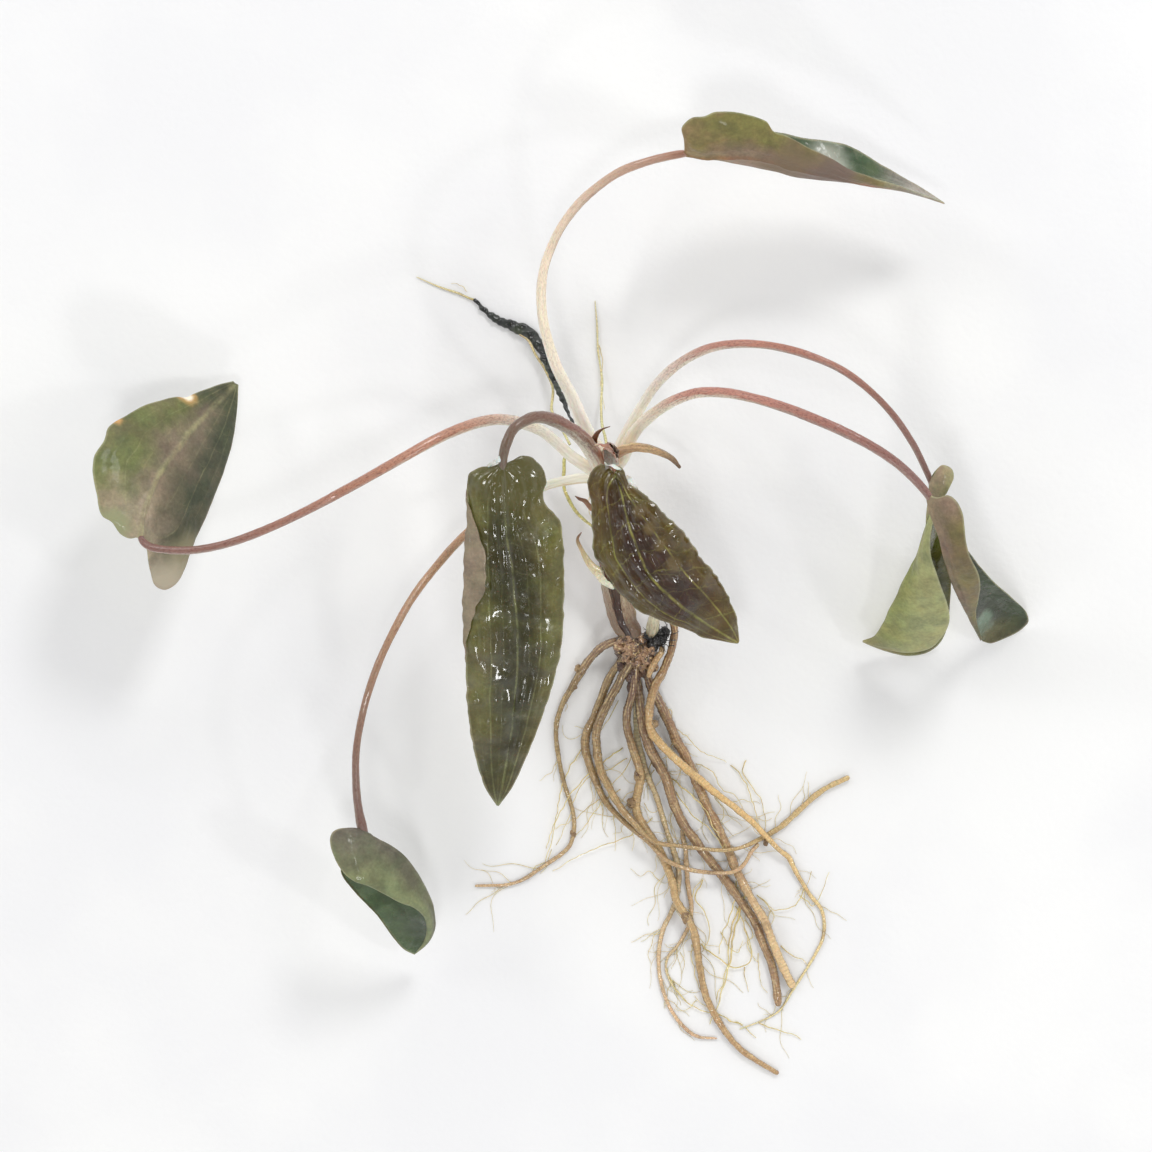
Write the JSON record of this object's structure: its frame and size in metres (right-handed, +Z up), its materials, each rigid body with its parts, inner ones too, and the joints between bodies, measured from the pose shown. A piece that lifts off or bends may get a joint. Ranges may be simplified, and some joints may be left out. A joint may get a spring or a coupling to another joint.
{
  "type": "cryptocoryne plant",
  "caption": "Bare-root cryptocoryne lying on a surface: glossy olive and brown leaves on arching stalks, a short stem with a rhizome, and long tangled roots.",
  "frame": {"origin": "on the surface that the plant rests on, under the middle of its outline", "axes": "+Z up from the surface, +Y from the roots towards the back leaf, +X to the right seen from above"},
  "size_m": [0.1826, 0.1883, 0.0484],
  "materials": {
    "leaf_blade": "wet, glossy olive-green to brown leaf, grey-green and matt below",
    "leaf_stalk": "wet satin stalk, cream at its base and reddish brown higher up",
    "root": "golden-brown root with fine rings",
    "fine_root": "pale yellow, slightly see-through fine root",
    "rhizome": "tan and purplish-brown fibrous tissue",
    "rotted_leaf": "wet, blackened leaf tissue"
  },
  "bodies": {
    "root": {"branch_root": "root", "crown_scale_leaf": "rhizome", "dead_strap_leaf": "rotted_leaf", "far_fine_root": "fine_root", "front_left_leaf_blade": "leaf_blade", "front_left_leaf_stalk": "leaf_stalk", "front_right_leaf_blade": "leaf_blade", "front_right_leaf_stalk": "leaf_stalk", "golden_root": "root", "inner_left_root": "root", "left_leaf_blade": "leaf_blade", "left_leaf_stalk": "leaf_stalk", "left_root": "root", "long_right_root": "root", "lower_left_leaf_blade": "leaf_blade", "lower_left_leaf_stalk": "leaf_stalk", "lower_scale_leaf": "rhizome", "middle_root": "root", "offset_peg": "rhizome", "old_stalk_stub": "leaf_stalk", "outer_left_root": "root", "pale_root": "root", "rhizome": "rhizome", "right_lower_leaf_blade": "leaf_blade", "right_lower_leaf_stalk": "leaf_stalk", "right_root": "root", "right_upper_leaf_blade": "leaf_blade", "right_upper_leaf_stalk": "leaf_stalk", "rotted_leaf_base": "rotted_leaf", "short_root": "root", "side_fine_root": "fine_root", "stem": "rhizome", "top_leaf_blade": "leaf_blade", "top_leaf_stalk": "leaf_stalk", "upper_fine_root": "fine_root", "upper_scale_leaf": "rhizome", "yellow_root": "fine_root"}
  },
  "joints": []
}
